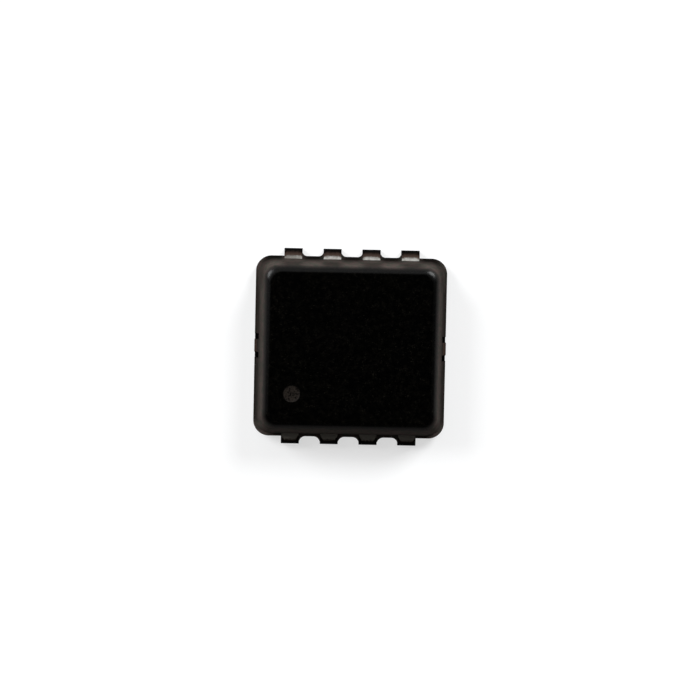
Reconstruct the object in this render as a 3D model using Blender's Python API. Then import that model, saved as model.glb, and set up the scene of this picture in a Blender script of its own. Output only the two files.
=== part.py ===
"""Surface-mount power MOSFET in a flat eight-lead package, 3.3 mm square, with a lead pitch of 0.65 mm.

A half-etched copper frame carries everything: the drain paddle with its four leads and two tie bars, the bar that
joins the three source leads, and the gate lead. The silicon die is soldered to the paddle, and bond wires loop from
its top metal to the source bar and the gate lead. The moulded body fills the room between them, and is worked out
here as the body's outer form less a slightly grown copy of every piece inside it.

Metres, +Z up. The origin lies on the board plane under the middle of the package, and +Y points to the drain leads.
Lead 1, a source lead, is at -X, -Y, beside the round mark on top.
"""

import math
from functools import partial

import bmesh
import bpy
from mathutils import Matrix, Vector

MM = 0.001

# Moulded body
BODY_WIDTH = 3.00 * MM  # along Y, at the rim
END_MARGIN = 0.465 * MM  # from the outer leads to the rim, along X
BODY_TOP = 0.80 * MM  # above the board
BODY_STANDOFF = 0.02 * MM  # the copper reaches this far below the moulding
ROW_LEDGE = 0.045 * MM  # step at the parting line, above the leads
END_LEDGE = 0.034 * MM  # the same step at the two ends
WALL_DRAFT = math.radians(13)
UPRIGHT_RADIUS = 0.26 * MM
TOP_EDGE_RADIUS = 0.15 * MM

# Mark beside lead 1
MARK_RADIUS = 0.14 * MM
MARK_DEPTH = 0.015 * MM
MARK_INSET_X = 0.64 * MM  # its centre, from the rim at lead 1's corner
MARK_INSET_Y = 0.74 * MM

# Copper frame
FRAME_THICKNESS = 0.20 * MM
ETCHED_THICKNESS = 0.10 * MM  # what is left above a half-etched underside
ETCHED_RADIUS = 0.05 * MM  # corners in plan

# Leads
LEADS_PER_SIDE = 4
SOURCE_LEADS = 3
LEAD_PITCH = 0.65 * MM
LEAD_WIDTH = 0.30 * MM
LEAD_REACH = 0.13 * MM  # beyond the rim
LEAD_ROLL = 0.06 * MM  # radius that shearing leaves on the top edge of a tip

# Drain paddle
PAD_OVERHANG = 0.10 * MM  # bare underside, past the outer leads along X
PAD_INSET = 0.30 * MM  # from the rim on the drain side
PAD_LEDGE = 0.15 * MM  # etched ledge that the moulding grips from below
PADDLE_GAP = 0.18 * MM  # between the ledge and the source and gate bars
TIE_BAR_WIDTH = 0.20 * MM
TIE_BAR_STUB = 0.005 * MM  # beyond the rim

# Source bar and gate lead
LAND_LENGTH = 0.40 * MM  # bare underside of a source or gate lead, from its tip
BAR_WIDTH = 0.54 * MM
BAR_INSET = 0.08 * MM  # from the rim
BAR_OVERHANG = 0.15 * MM  # past the outer side of the end lead
BAR_GAP = 0.19 * MM  # between the source bar and the gate lead

# Traces of the trimming punches
DRAIN_PUNCH_RADIUS = 0.08 * MM  # hollow that the punch leaves between a lead and the rim
SOURCE_PUNCH_RADIUS = 0.11 * MM
WEB_EDGE = 0.005 * MM  # moulding left beside a lead where the hollow ends
NICK_LENGTH = 0.09 * MM  # along the rim, on both sides of a tie bar
NICK_DEPTH = 0.07 * MM
NICK_LOW = 0.10 * MM  # above the board
NICK_TOP = 0.44 * MM
BARED_LENGTH = 0.05 * MM  # of a tie bar's top, from the rim
NICK_WALL = 0.01 * MM  # moulding between a tie bar and its nick

# Silicon die and its solder
DIE_INSET_X = 0.325 * MM  # from the edges of the paddle's top
DIE_INSET_Y = 0.225 * MM
DIE_THICKNESS = 0.15 * MM
SOLDER_THICKNESS = 0.03 * MM
SOLDER_MARGIN = 0.03 * MM  # beyond the die's edges
METAL_THICKNESS = 0.006 * MM
METAL_INSET = 0.07 * MM  # from the die's edges
METAL_GAP = 0.05 * MM  # between the source metal and the gate pad
GATE_PAD_SIZE = 0.26 * MM

# Bond wires
SOURCE_WIRES = 8
WIRE_RADIUS = 0.025 * MM
BALL_RADIUS = 0.055 * MM
BALL_TOP_RADIUS = 0.035 * MM
BALL_HEIGHT = 0.025 * MM
BALL_INSET = 0.12 * MM  # centre, from the edges of the metal under it
BALL_ROW_PITCH = 0.38 * MM  # between the two staggered rows
STITCH_INSET = 0.16 * MM  # heel of the stitch, from the edges of the bar
STITCH_LENGTH = 0.08 * MM
STITCH_SQUEEZE = 0.5  # radius left at the pressed end
HEEL_LIFT = 0.002 * MM
LOOP_RISE = 0.19 * MM  # first handle of the loop, above the ball
LOOP_CREST = 0.13 * MM  # second handle, above the ball
LOOP_CREST_SHARE = 0.45  # of the way from the ball to the heel
LOOP_STEPS = 11

# Fits and facets
SEAT_GAP = 0.002 * MM  # kept between pieces that touch, in scale with a package of 3 mm
CUT_PAST = 0.05 * MM  # a cutter reaches this far beyond what it cuts
HALVES_OVERLAP = 0.03 * MM  # the body's upper half starts this far down in the lower one, out of sight
RECESS_SINK = 0.005 * MM  # the recess over a tie bar goes this far below its top
ROUNDING = 0.00001 * MM  # of every point, before solids are joined or cut
WELD_DISTANCE = 0.00001 * MM
SLIVER_DISTANCE = 0.0002 * MM
FLAT_ANGLE = math.radians(0.2)  # faces that turn less than this are one
CORNER_STEPS = 4
UPRIGHT_STEPS = 10
TOP_EDGE_STEPS = 8
ROLL_STEPS = 5
PUNCH_STEPS = 8
MARK_SIDES = 40
BALL_SIDES = 12
TUBE_RESOLUTION = 2

# Worked out from the sizes above
LEADS_X = ((LEADS_PER_SIDE - 1) * LEAD_PITCH + LEAD_WIDTH) / 2  # outer side of the outer leads
RIM_X = LEADS_X + END_MARGIN
RIM_Y = BODY_WIDTH / 2
TIP_Y = RIM_Y + LEAD_REACH
ETCHED_LOW = FRAME_THICKNESS - ETCHED_THICKNESS
BAR_LOW_Y = BAR_INSET - RIM_Y
BAR_HIGH_Y = BAR_LOW_Y + BAR_WIDTH
PAD_X = LEADS_X + PAD_OVERHANG
PAD_HIGH_Y = RIM_Y - PAD_INSET
PADDLE_X = PAD_X + PAD_LEDGE
PADDLE_LOW_Y = BAR_HIGH_Y + PADDLE_GAP
PAD_LOW_Y = PADDLE_LOW_Y + PAD_LEDGE
DIE_X = PADDLE_X - DIE_INSET_X
DIE_LOW_Y = PADDLE_LOW_Y + DIE_INSET_Y
DIE_HIGH_Y = PAD_HIGH_Y - DIE_INSET_Y
SOLDER_LOW = FRAME_THICKNESS + SEAT_GAP
DIE_LOW = SOLDER_LOW + SOLDER_THICKNESS + SEAT_GAP
DIE_TOP = DIE_LOW + DIE_THICKNESS
METAL_TOP = DIE_TOP + METAL_THICKNESS


def clear_scene():
    """Empty the file of its objects."""
    for obj in list(bpy.data.objects):
        bpy.data.objects.remove(obj)


def new_collection(name):
    """A collection that hangs under the scene's own."""
    made = bpy.data.collections.new(name)
    bpy.context.scene.collection.children.link(made)
    return made


def new_material(name, colour, roughness, metallic):
    """A Principled BSDF material."""
    material = bpy.data.materials.new(name)
    material.use_nodes = True
    shader = material.node_tree.nodes["Principled BSDF"]
    shader.inputs["Base Color"].default_value = (*colour, 1.0)
    shader.inputs["Roughness"].default_value = roughness
    shader.inputs["Metallic"].default_value = metallic
    material.diffuse_color = (*colour, 1.0)
    return material


def place(name, data, location, collection=None):
    """An object for a mesh or a curve, in the given collection or the scene's own."""
    obj = bpy.data.objects.new(name, data)
    obj.location = location
    (collection or bpy.context.scene.collection).objects.link(obj)
    return obj


def block(name, low, high, grow=0.0):
    """A box between two opposite corners, with every side moved out by grow."""
    low, high = Vector(low), Vector(high)
    size = high - low + Vector((grow, grow, grow)) * 2
    shape = bmesh.new()
    bmesh.ops.create_cube(shape, size=1.0, matrix=Matrix.Diagonal((*size, 1.0)))
    mesh = bpy.data.meshes.new(name)
    shape.to_mesh(mesh)
    shape.free()
    return place(name, mesh, (low + high) / 2)


def cone(name, foot, foot_radius, top_radius, height, sides, grow=0.0):
    """A cone frustum, or a cylinder, that stands on foot, with every side moved out by grow."""
    slope = (foot_radius - top_radius) / height
    wall = math.hypot(1.0, slope)
    shape = bmesh.new()
    bmesh.ops.create_cone(
        shape,
        cap_ends=True,
        segments=sides,
        radius1=foot_radius + grow * (wall + slope),
        radius2=top_radius + grow * (wall - slope),
        depth=height + 2 * grow,
    )
    mesh = bpy.data.meshes.new(name)
    shape.to_mesh(mesh)
    shape.free()
    return place(name, mesh, Vector(foot) + Vector((0, 0, height / 2)))


def bevel_edges(obj, wanted, width, steps):
    """Round the edges of a mesh that the function wanted picks."""
    shape = bmesh.new()
    shape.from_mesh(obj.data)
    edges = [edge for edge in shape.edges if wanted(edge)]
    bmesh.ops.bevel(
        shape, geom=edges, offset=width, offset_type="OFFSET", segments=steps, profile=0.5, affect="EDGES"
    )
    shape.to_mesh(obj.data)
    shape.free()


def rectangle(low, high, radius=0.0):
    """Corners (x, y, radius) of a rectangle, anticlockwise."""
    return [
        (low[0], low[1], radius),
        (high[0], low[1], radius),
        (high[0], high[1], radius),
        (low[0], high[1], radius),
    ]


def rounded_outline(corners, grow, steps):
    """Points of an anticlockwise outline with rounded corners, and every side moved out by grow."""
    points = []
    for index, (x, y, radius) in enumerate(corners):
        corner = Vector((x, y))
        before = (corner - Vector(corners[index - 1][:2])).normalized()
        after = (Vector(corners[(index + 1) % len(corners)][:2]) - corner).normalized()
        out_before = Vector((before.y, -before.x))
        out_after = Vector((after.y, -after.x))
        side = math.copysign(1.0, before.cross(after))
        turn = before.angle(after)
        corner += (out_before + out_after) * grow / (1.0 + out_before.dot(out_after))
        radius = max(radius + side * grow, 0.0) if radius > 0.0 else 0.0
        if radius == 0.0:
            points.append(corner)
            continue
        centre = corner - before * radius * math.tan(turn / 2) - out_before * side * radius
        for step in range(steps + 1):
            arm = out_before * side * radius
            arm.rotate(Matrix.Rotation(side * turn * step / steps, 2))
            points.append(centre + arm)
    return points


def plate(name, corners, bottom, top, grow=0.0, steps=CORNER_STEPS):
    """A flat plate from an outline of (x, y, radius) corners, with every side moved out by grow."""
    outline = rounded_outline(corners, grow, steps)
    curve = bpy.data.curves.new(name, "CURVE")
    curve.dimensions = "2D"
    curve.fill_mode = "BOTH"
    curve.extrude = (top - bottom) / 2 + grow
    spline = curve.splines.new("POLY")
    spline.points.add(len(outline) - 1)
    spline.use_cyclic_u = True
    for point, (x, y) in zip(spline.points, outline):
        point.co = (x, y, 0.0, 1.0)
    return as_mesh(place(name, curve, (0.0, 0.0, (bottom + top) / 2)))


def tube(name, start, path, radii):
    """A round wire along a path of offsets from start, with a radius at every point."""
    curve = bpy.data.curves.new(name, "CURVE")
    curve.dimensions = "3D"
    curve.bevel_depth = 1.0 * MM
    curve.bevel_resolution = TUBE_RESOLUTION
    curve.use_fill_caps = True
    spline = curve.splines.new("POLY")
    spline.points.add(len(path) - 1)
    for point, place_at, radius in zip(spline.points, path, radii):
        point.co = (*place_at, 1.0)
        point.radius = radius / curve.bevel_depth
    return as_mesh(place(name, curve, start))


def as_mesh(obj, collection=None):
    """Replace an object by the mesh that it shows, its loose caps welded and its flat areas made one face each."""
    bpy.context.view_layer.update()
    shown = obj.evaluated_get(bpy.context.evaluated_depsgraph_get())
    mesh = bpy.data.meshes.new_from_object(shown)
    shape = bmesh.new()
    shape.from_mesh(mesh)
    bmesh.ops.remove_doubles(shape, verts=shape.verts, dist=WELD_DISTANCE)
    bmesh.ops.dissolve_limit(shape, angle_limit=FLAT_ANGLE, verts=shape.verts, edges=shape.edges)
    bmesh.ops.triangulate(shape, faces=shape.faces, ngon_method="BEAUTY")
    bmesh.ops.dissolve_degenerate(shape, dist=SLIVER_DISTANCE, edges=shape.edges)
    bmesh.ops.triangulate(shape, faces=shape.faces, ngon_method="BEAUTY")
    shape.to_mesh(mesh)
    shape.free()
    name = obj.name
    matrix = obj.matrix_world.copy()
    bpy.data.objects.remove(obj)
    made = place(name, mesh, (0.0, 0.0, 0.0), collection)
    made.matrix_world = matrix
    return made


def settled(obj):
    """Move an object's place into its mesh, and round it there, so that faces meant to be flush are."""
    obj.data.transform(obj.matrix_basis)
    obj.matrix_basis = Matrix()
    for vert in obj.data.vertices:
        vert.co = [round(value / ROUNDING) * ROUNDING for value in vert.co]
    return obj


def fused(name, shapes, collection):
    """One solid from shapes that overlap, which are used up."""
    solid, *others = [settled(shape) for shape in shapes]
    for other in others:
        union = solid.modifiers.new(other.name, "BOOLEAN")
        union.operation = "UNION"
        union.solver = "EXACT"
        union.object = other
    solid.name = name
    solid = as_mesh(solid, collection)
    for other in others:
        bpy.data.objects.remove(other)
    return solid


def lead_x(number):
    """X of a lead's middle, with the leads of one side numbered from 0 at -X."""
    return (number - (LEADS_PER_SIDE - 1) / 2) * LEAD_PITCH


def lead_blade(number, side, root_y, grow):
    """The full-thickness end of a lead, on the +Y or -Y side, from root_y to its rolled tip."""
    x = lead_x(number)
    near, far = sorted((side * root_y, side * TIP_Y))
    blade = block(
        f"blade_{number}",
        (x - LEAD_WIDTH / 2, near, 0.0),
        (x + LEAD_WIDTH / 2, far, FRAME_THICKNESS),
        grow,
    )
    if grow == 0.0:
        bevel_edges(blade, partial(is_tip_edge, side), LEAD_ROLL, ROLL_STEPS)
    return blade


def is_tip_edge(side, edge):
    """Whether an edge of a lead's block is the top one of its tip."""
    return all(vert.co.z > 0 and vert.co.y * side > 0 for vert in edge.verts)


def drain_frame_shapes(grow):
    """The bare pad, its etched ledge with the two tie bars, and the four drain leads."""
    tie_x = RIM_X + TIE_BAR_STUB
    tie_y = TIE_BAR_WIDTH / 2
    r = ETCHED_RADIUS
    ledge = [
        (-PADDLE_X, PADDLE_LOW_Y, r),
        (PADDLE_X, PADDLE_LOW_Y, r),
        (PADDLE_X, -tie_y, r),
        (tie_x, -tie_y, 0.0),
        (tie_x, tie_y, 0.0),
        (PADDLE_X, tie_y, r),
        (PADDLE_X, PAD_HIGH_Y, r),
        (-PADDLE_X, PAD_HIGH_Y, r),
        (-PADDLE_X, tie_y, r),
        (-tie_x, tie_y, 0.0),
        (-tie_x, -tie_y, 0.0),
        (-PADDLE_X, -tie_y, r),
    ]
    pad = rectangle((-PAD_X, PAD_LOW_Y), (PAD_X, PAD_HIGH_Y), r)
    shapes = [
        plate("pad", pad, 0.0, FRAME_THICKNESS, grow),
        plate("ledge", ledge, ETCHED_LOW, FRAME_THICKNESS, grow),
    ]
    root_y = PAD_HIGH_Y - r
    shapes += [lead_blade(number, 1, root_y, grow) for number in range(LEADS_PER_SIDE)]
    return shapes


def etched_bar(low_x, high_x, grow):
    """The half-etched bar that bond wires land on, beside the die paddle."""
    corners = rectangle((low_x, BAR_LOW_Y), (high_x, BAR_HIGH_Y), ETCHED_RADIUS)
    return plate("bar", corners, ETCHED_LOW, FRAME_THICKNESS, grow)


def source_bar_ends():
    """X of the source bar's two ends."""
    low = -LEADS_X - BAR_OVERHANG
    high = (lead_x(SOURCE_LEADS - 1) + lead_x(SOURCE_LEADS)) / 2 - BAR_GAP / 2
    return low, high


def gate_bar_ends():
    """X of the gate bar's two ends."""
    low = source_bar_ends()[1] + BAR_GAP
    high = LEADS_X + BAR_OVERHANG
    return low, high


def source_frame_shapes(grow):
    """The source bar and its three leads."""
    root_y = TIP_Y - LAND_LENGTH
    blades = [lead_blade(number, -1, root_y, grow) for number in range(SOURCE_LEADS)]
    return [etched_bar(*source_bar_ends(), grow), *blades]


def gate_lead_shapes(grow):
    """The gate bar and its lead."""
    root_y = TIP_Y - LAND_LENGTH
    return [etched_bar(*gate_bar_ends(), grow), lead_blade(LEADS_PER_SIDE - 1, -1, root_y, grow)]


def metal_edges():
    """The low and high corner of the area that the die's top metal covers."""
    inset = Vector((METAL_INSET, METAL_INSET))
    return Vector((-DIE_X, DIE_LOW_Y)) + inset, Vector((DIE_X, DIE_HIGH_Y)) - inset


def silicon_die_shapes(grow):
    """The die, with the source metal and the gate pad raised on its top face."""
    low, high = metal_edges()
    gate_low_x = high.x - GATE_PAD_SIZE
    gate_high_y = low.y + GATE_PAD_SIZE
    source_metal = [
        (low.x, low.y, 0.0),
        (gate_low_x - METAL_GAP, low.y, 0.0),
        (gate_low_x - METAL_GAP, gate_high_y + METAL_GAP, 0.0),
        (high.x, gate_high_y + METAL_GAP, 0.0),
        (high.x, high.y, 0.0),
        (low.x, high.y, 0.0),
    ]
    gate_metal = rectangle((gate_low_x, low.y), (high.x, gate_high_y))
    metal_low = DIE_TOP - METAL_THICKNESS
    return [
        block("silicon", (-DIE_X, DIE_LOW_Y, DIE_LOW), (DIE_X, DIE_HIGH_Y, DIE_TOP), grow),
        plate("source_metal", source_metal, metal_low, METAL_TOP, grow),
        plate("gate_metal", gate_metal, metal_low, METAL_TOP, grow),
    ]


def die_solder_shapes(grow):
    """The solder that spreads a little past the die."""
    low = (-DIE_X - SOLDER_MARGIN, DIE_LOW_Y - SOLDER_MARGIN)
    high = (DIE_X + SOLDER_MARGIN, DIE_HIGH_Y + SOLDER_MARGIN)
    corners = rectangle(low, high, SOLDER_MARGIN)
    return [plate("solder", corners, SOLDER_LOW, SOLDER_LOW + SOLDER_THICKNESS, grow)]


def bezier(start, first, second, end, share):
    """A point of a cubic curve."""
    rest = 1.0 - share
    return (
        start * rest**3
        + first * 3 * rest**2 * share
        + second * 3 * rest * share**2
        + end * share**3
    )


def bond_wire_shapes(ball, heel, grow):
    """A ball bond at the plan point ball, and a loop from it to a pressed stitch past the plan point heel."""
    foot = Vector((*ball, METAL_TOP + SEAT_GAP))
    bar_top = FRAME_THICKNESS + SEAT_GAP
    start = Vector((0.0, 0.0, BALL_HEIGHT / 2))
    end = Vector((*heel, bar_top + WIRE_RADIUS + HEEL_LIFT)) - foot
    first = start + Vector((0.0, 0.0, LOOP_RISE))
    second = start.lerp(end, LOOP_CREST_SHARE)
    second.z = start.z + LOOP_CREST
    path = [bezier(start, first, second, end, step / LOOP_STEPS) for step in range(LOOP_STEPS + 1)]
    pressed = end + Vector((end.x, end.y, 0.0)).normalized() * STITCH_LENGTH
    pressed.z = bar_top + WIRE_RADIUS * STITCH_SQUEEZE - foot.z
    pressed += (pressed - end).normalized() * grow
    radii = [WIRE_RADIUS + grow] * len(path) + [WIRE_RADIUS * STITCH_SQUEEZE + grow]
    wire = tube("wire", foot, [*path, pressed], radii)
    bond = cone("ball", foot, BALL_RADIUS, BALL_TOP_RADIUS, BALL_HEIGHT, BALL_SIDES, grow)
    return [bond, wire]


def source_wire_ends():
    """Plan points of the ball and the heel of each source wire, fanned from the die to the bar."""
    low, high = metal_edges()
    ball_low = low.x + BALL_INSET
    ball_high = high.x - GATE_PAD_SIZE - METAL_GAP - BALL_INSET
    bar_low, bar_high = source_bar_ends()
    heel_low = bar_low + STITCH_INSET
    heel_high = bar_high - STITCH_INSET
    ends = []
    for number in range(SOURCE_WIRES):
        share = number / (SOURCE_WIRES - 1)
        row_y = low.y + BALL_INSET + BALL_ROW_PITCH * (number % 2)
        ball = (ball_low + (ball_high - ball_low) * share, row_y)
        heel = (heel_low + (heel_high - heel_low) * share, BAR_HIGH_Y - STITCH_INSET)
        ends.append((ball, heel))
    return ends


def gate_wire_ends():
    """Plan points of the ball and the heel of the gate wire."""
    low, high = metal_edges()
    ball = (high.x - GATE_PAD_SIZE / 2, low.y + GATE_PAD_SIZE / 2)
    heel = (sum(gate_bar_ends()) / 2, BAR_HIGH_Y - STITCH_INSET)
    return ball, heel


def body_form():
    """The drafted upper half of the body, with rounded corners and a rounded top edge, sunk a little in the lower."""
    low = FRAME_THICKNESS - HALVES_OVERLAP
    base_x = RIM_X - END_LEDGE + HALVES_OVERLAP * math.tan(WALL_DRAFT)
    base_y = RIM_Y - ROW_LEDGE + HALVES_OVERLAP * math.tan(WALL_DRAFT)
    lean = (BODY_TOP - low) * math.tan(WALL_DRAFT)
    form = block("upper_half", (-base_x, -base_y, low), (base_x, base_y, BODY_TOP))
    for vert in form.data.vertices:
        if vert.co.z > 0:
            vert.co.x -= math.copysign(lean, vert.co.x)
            vert.co.y -= math.copysign(lean, vert.co.y)
    bevel_edges(form, is_upright_edge, UPRIGHT_RADIUS, UPRIGHT_STEPS)
    top_cut = TOP_EDGE_RADIUS * math.tan((math.pi / 2 - WALL_DRAFT) / 2)
    bevel_edges(form, is_top_edge, top_cut, TOP_EDGE_STEPS)
    return form


def is_upright_edge(edge):
    """Whether an edge joins the bottom and the top of a block."""
    low, high = sorted(vert.co.z for vert in edge.verts)
    return low < 0 < high


def is_top_edge(edge):
    """Whether an edge lies round the top of a block."""
    return all(vert.co.z > 0 for vert in edge.verts)


def body_rim():
    """The lower half of the body, which stands round and between the copper."""
    corners = rectangle((-RIM_X, -RIM_Y), (RIM_X, RIM_Y), UPRIGHT_RADIUS)
    return plate("lower_half", corners, BODY_STANDOFF, FRAME_THICKNESS, steps=UPRIGHT_STEPS)


def punch_radius(side):
    """Radius of the punches on the +Y or -Y side."""
    return DRAIN_PUNCH_RADIUS if side > 0 else SOURCE_PUNCH_RADIUS


def web_reach(side):
    """How far the moulding reaches beyond the rim between the leads, where the punches thin it to WEB_EDGE."""
    radius = punch_radius(side)
    return radius - math.sqrt(WEB_EDGE * (2 * radius - WEB_EDGE))


def lead_webs():
    """Bands of moulding between the leads of each side, which the punches then cut."""
    reach_x = lead_x(LEADS_PER_SIDE - 1)
    webs = []
    for side in (-1, 1):
        near, far = sorted((side * (RIM_Y - UPRIGHT_RADIUS), side * (RIM_Y + web_reach(side))))
        webs.append(block("web", (-reach_x, near, BODY_STANDOFF), (reach_x, far, FRAME_THICKNESS)))
    return webs


def punch(number, side):
    """The round-cornered punch that frees two neighbouring leads."""
    radius = punch_radius(side)
    low_x = lead_x(number) + LEAD_WIDTH / 2
    high_x = lead_x(number + 1) - LEAD_WIDTH / 2
    near, far = sorted((side * RIM_Y, side * (RIM_Y + web_reach(side) + radius + CUT_PAST)))
    corners = rectangle((low_x, near), (high_x, far), radius)
    name = f"punch_{number}_{'drain' if side > 0 else 'source'}"
    return plate(name, corners, BODY_STANDOFF - CUT_PAST, FRAME_THICKNESS + CUT_PAST, steps=PUNCH_STEPS)


def nick(side_x, side_y):
    """The cutter of a nick beside a tie bar."""
    near_y = TIE_BAR_WIDTH / 2 + NICK_WALL
    xs = sorted((side_x * (RIM_X - NICK_DEPTH), side_x * (RIM_X + CUT_PAST)))
    ys = sorted((side_y * near_y, side_y * (near_y + NICK_LENGTH)))
    return block("nick", (xs[0], ys[0], NICK_LOW), (xs[1], ys[1], NICK_TOP))


def tie_bar_recess(side_x):
    """The cutter that bares the end of a tie bar between its two nicks."""
    reach_y = TIE_BAR_WIDTH / 2 + NICK_WALL + NICK_LENGTH / 2
    xs = sorted((side_x * (RIM_X - BARED_LENGTH), side_x * (RIM_X + CUT_PAST)))
    return block("recess", (xs[0], -reach_y, FRAME_THICKNESS - RECESS_SINK), (xs[1], reach_y, NICK_TOP))


def mark_cutter():
    """The cutter of the shallow round mark beside lead 1."""
    foot = (MARK_INSET_X - RIM_X, MARK_INSET_Y - RIM_Y, BODY_TOP - MARK_DEPTH)
    return cone("mark", foot, MARK_RADIUS, MARK_RADIUS, MARK_DEPTH + CUT_PAST, MARK_SIDES)


def as_tool(obj, collection):
    """Keep an object only as a cutter."""
    settled(obj)
    for held in list(obj.users_collection):
        held.objects.unlink(obj)
    collection.objects.link(obj)
    obj.hide_render = True
    obj.display_type = "WIRE"


def add_inner_piece(name, shapes, material, parts, tools):
    """Make a piece, and the grown copy of it that the moulding leaves free."""
    piece = fused(name, shapes(0.0), parts)
    finish(piece, material)
    as_tool(fused(f"{name}_cavity", shapes(SEAT_GAP), tools), tools)
    return piece


def finish(obj, material):
    """Give a piece its material, and smooth shading between sharp edges."""
    obj.data.materials.clear()
    obj.data.materials.append(material)
    obj.data.shade_smooth()
    obj.data.set_sharp_from_angle(angle=math.radians(30))


def add_mould_body(material, parts, tools):
    """The moulded body: its outer form, less everything in the collection of tools."""
    body = fused("mould_body", [body_rim(), body_form(), *lead_webs()], parts)
    for side in (-1, 1):
        for number in range(LEADS_PER_SIDE - 1):
            as_tool(punch(number, side), tools)
        as_tool(tie_bar_recess(side), tools)
        for side_y in (-1, 1):
            as_tool(nick(side, side_y), tools)
    as_tool(mark_cutter(), tools)
    cut = body.modifiers.new("cut", "BOOLEAN")
    cut.operation = "DIFFERENCE"
    cut.solver = "EXACT"
    cut.operand_type = "COLLECTION"
    cut.collection = tools
    body = as_mesh(body, parts)
    finish(body, material)
    return body


def main():
    """Build the package."""
    clear_scene()
    parts = new_collection("mosfet")
    tools = new_collection("mould_tools")
    epoxy = new_material("black_moulding", (0.012, 0.011, 0.010), 0.55, 0.0)
    tinned = new_material("tinned_copper", (0.62, 0.60, 0.57), 0.38, 1.0)
    silicon = new_material("silicon", (0.20, 0.20, 0.23), 0.25, 0.6)
    solder = new_material("solder", (0.45, 0.45, 0.46), 0.40, 1.0)
    copper = new_material("bond_copper", (0.80, 0.45, 0.30), 0.30, 1.0)

    inner = [
        ("drain_frame", drain_frame_shapes, tinned),
        ("source_frame", source_frame_shapes, tinned),
        ("gate_lead", gate_lead_shapes, tinned),
        ("die_solder", die_solder_shapes, solder),
        ("silicon_die", silicon_die_shapes, silicon),
        ("gate_wire", partial(bond_wire_shapes, *gate_wire_ends()), copper),
    ]
    for number, ends in enumerate(source_wire_ends(), start=1):
        inner.append((f"source_wire_{number}", partial(bond_wire_shapes, *ends), copper))

    pieces = [add_inner_piece(*piece, parts, tools) for piece in inner]
    pieces.append(add_mould_body(epoxy, parts, tools))

    package = place("package", None, (0.0, 0.0, 0.0), parts)
    for piece in pieces:
        piece.parent = package


main()
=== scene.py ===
"""Looks of a surface-mount power MOSFET in a flat eight-lead package, 3.3 mm square.

The black moulding and the three pieces of the copper frame are modelled again as fine meshes, with the rolls, burrs
and rounded edges that moulding and shearing leave. The silicon die, its solder and the bond wires lie sealed inside,
and keep their solids. Every finish is worked out by nodes from the place on the piece.

Metres, +Z up. The board plane is z = 0, +Y points to the drain leads, and lead 1 is at -X, -Y.
"""

import logging
import math
from collections.abc import Iterable, Sequence
from dataclasses import dataclass, field
from enum import Enum

import bmesh
import bpy
from mathutils import Matrix, Vector


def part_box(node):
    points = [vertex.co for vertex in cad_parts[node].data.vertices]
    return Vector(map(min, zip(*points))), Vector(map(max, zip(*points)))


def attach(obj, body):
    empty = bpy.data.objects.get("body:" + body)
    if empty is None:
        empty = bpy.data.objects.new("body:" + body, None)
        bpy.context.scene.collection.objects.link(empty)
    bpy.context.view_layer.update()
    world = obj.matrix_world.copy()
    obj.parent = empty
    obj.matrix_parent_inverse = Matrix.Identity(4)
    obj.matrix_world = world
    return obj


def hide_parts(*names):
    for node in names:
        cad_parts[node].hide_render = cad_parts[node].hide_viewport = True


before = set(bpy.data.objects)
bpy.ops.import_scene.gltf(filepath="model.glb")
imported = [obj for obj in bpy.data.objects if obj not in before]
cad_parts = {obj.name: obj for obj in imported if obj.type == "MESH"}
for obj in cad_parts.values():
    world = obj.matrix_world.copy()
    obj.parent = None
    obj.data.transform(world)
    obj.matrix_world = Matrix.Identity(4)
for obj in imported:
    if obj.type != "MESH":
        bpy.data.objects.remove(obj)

log = logging.getLogger("mosfet")

MM = 0.001
UM = 0.000001
BODY = "root"

# Points closer than this are welded, and faces that turn by less are made one
WELD_DISTANCE = 0.01 * UM
FLAT_TURN = math.radians(0.2)

PLATE_ARC_STEPS = 8
FACE_AREA_WEIGHT = 100

Colour = tuple[float, float, float]
Number = float | int

WHITE: Colour = (1.0, 1.0, 1.0)
DAYLIGHT: Colour = (0.97, 0.985, 1.0)


class Side(Enum):
    """The two rows of leads, by the direction in which they point along Y."""

    DRAIN = 1
    SOURCE = -1


class Slot(Enum):
    """Names of the finishes."""

    MOULDING = "black_moulding"
    TIN = "tinned_copper"
    SOLDER = "solder"
    SILICON = "silicon"
    COPPER = "bond_copper"


class Shade(Enum):
    """How the faces of a piece are shaded, by the turn in degrees from which an edge is sharp."""

    ROUNDED = 30.0
    CRISP = 20.0


class Operation(Enum):
    """How shapes are combined."""

    JOIN = "UNION"
    CUT = "DIFFERENCE"


@dataclass(frozen=True)
class Corner:
    """A corner of an outline, and the radius that rounds it."""

    x: float
    y: float
    radius: float = 0.0


@dataclass(frozen=True)
class Sizes:
    """Sizes that several pieces share, in metres."""

    rim_x: float
    rim_y: float
    top: float
    standoff: float
    copper: float
    tip_y: float
    lead_pitch: float = 0.65 * MM
    lead_width: float = 0.30 * MM
    leads_per_side: int = 4
    source_leads: int = 3
    lead_reach: float = 0.13 * MM
    tie_width: float = 0.20 * MM
    seat_gap: float = 0.002 * MM

    @classmethod
    def from_frame(cls) -> "Sizes":
        """The sizes that the solids give.

        Returns:
            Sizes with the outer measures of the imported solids.
        """
        body_low, body_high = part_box("mould_body")
        drain_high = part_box("drain_frame")[1]
        return cls(
            rim_x=body_high.x,
            rim_y=drain_high.y - cls.lead_reach,
            top=body_high.z,
            standoff=body_low.z,
            copper=drain_high.z,
            tip_y=drain_high.y,
        )

    def lead_x(self, number: int) -> float:
        """X of the middle of a lead, numbered from 0 at -X."""
        return (number - (self.leads_per_side - 1) / 2) * self.lead_pitch

    def leads_end_x(self) -> float:
        """X of the outer side of the outer lead."""
        return self.lead_x(self.leads_per_side - 1) + self.lead_width / 2


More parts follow.
